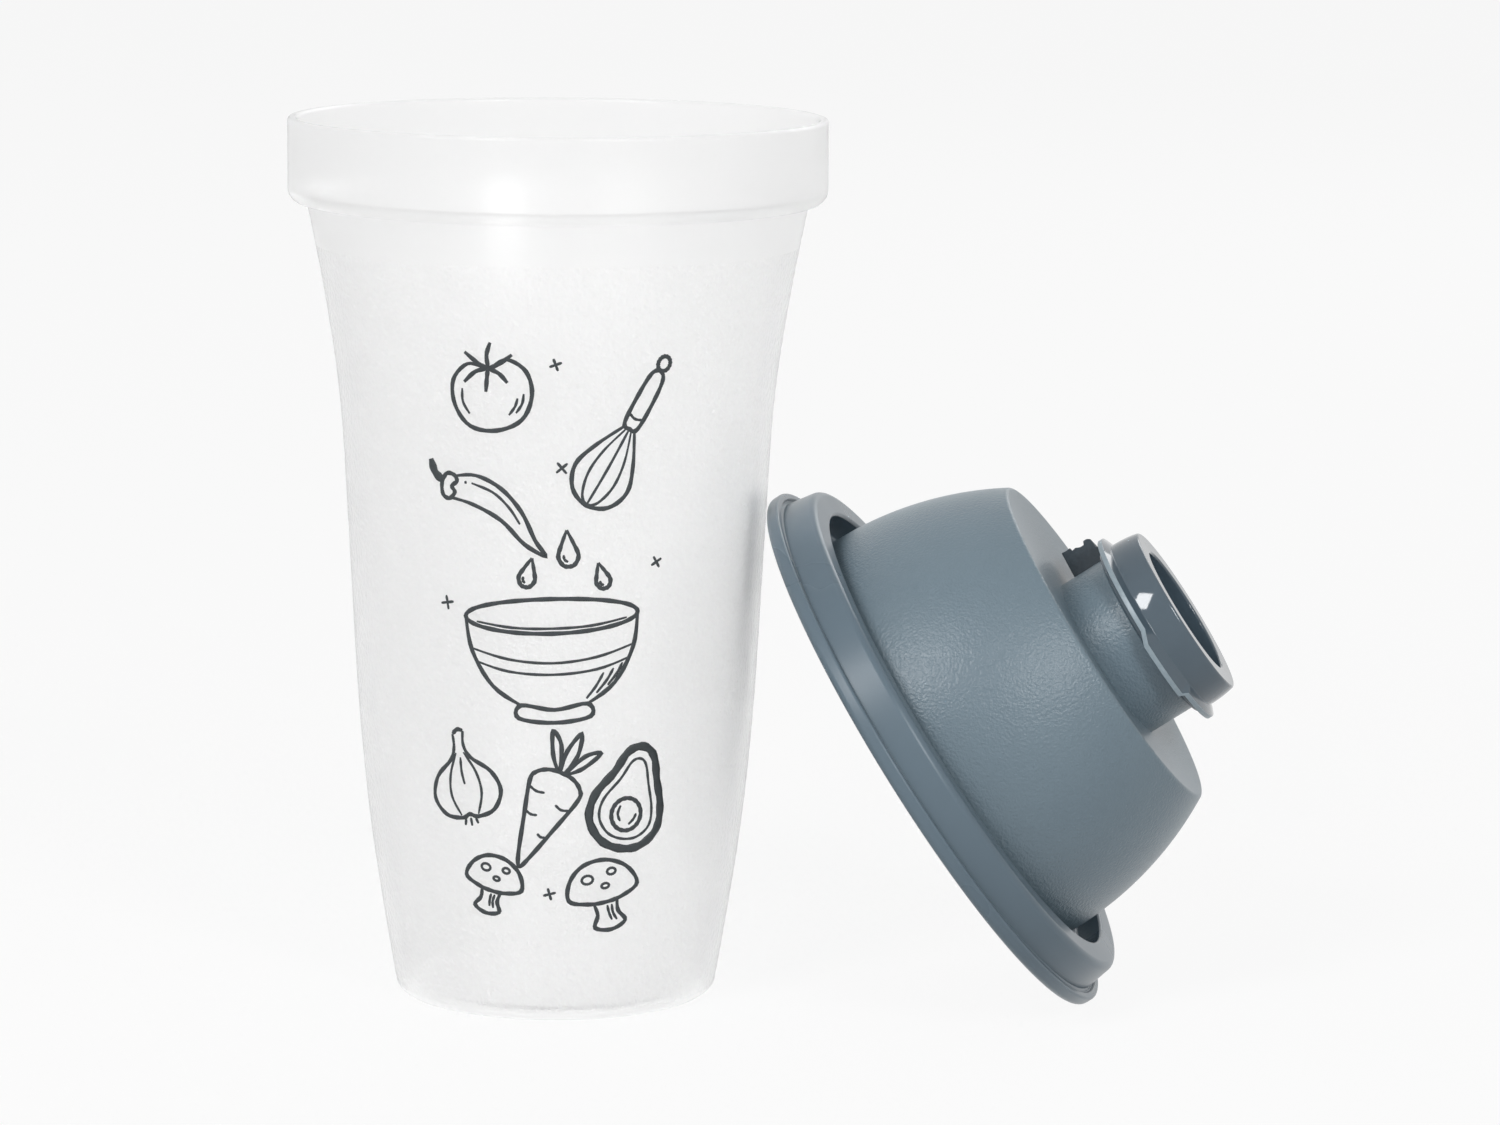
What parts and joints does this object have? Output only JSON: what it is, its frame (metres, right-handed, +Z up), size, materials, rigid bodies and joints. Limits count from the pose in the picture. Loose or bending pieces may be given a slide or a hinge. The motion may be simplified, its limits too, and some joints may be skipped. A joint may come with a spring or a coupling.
{
  "type": "salad dressing shaker",
  "caption": "Flared frosted shaker cup with its grey domed pouring lid set down beside it; the lid's off-centre neck carries a glossy pour collar that turns.",
  "frame": {"origin": "centre of the cup's foot, on the surface that it stands on", "axes": "+Z up along the cup's axis, +X towards the lid that leans beside it, -Y towards the picture's viewer"},
  "size_m": [0.1591, 0.0997, 0.148],
  "materials": {
    "cup_frosted": "frosted translucent polypropylene, fine moulded grain, smooth rim band",
    "lid_grey": "slate grey polypropylene, fine moulded grain on the dome, satin rim",
    "collar_gloss": "slate grey polypropylene, polished mould finish"
  },
  "bodies": {
    "cup": {"cup": "cup_frosted"},
    "lid": {"lid": "lid_grey"},
    "collar": {"pour_collar": "collar_gloss"}
  },
  "joints": [
    {"name": "lid_lift", "type": "slide", "parent": "cup", "child": "lid", "axis": [0.8298, -0.0821, 0.5519], "range_m": [0, 0.15]},
    {"name": "collar_twist", "type": "hinge", "parent": "lid", "child": "collar", "pos_m": [0.09965, -0.00497, 0.06272], "axis": [0.8298, -0.0821, 0.5519], "range_deg": [-105, 190]}
  ]
}
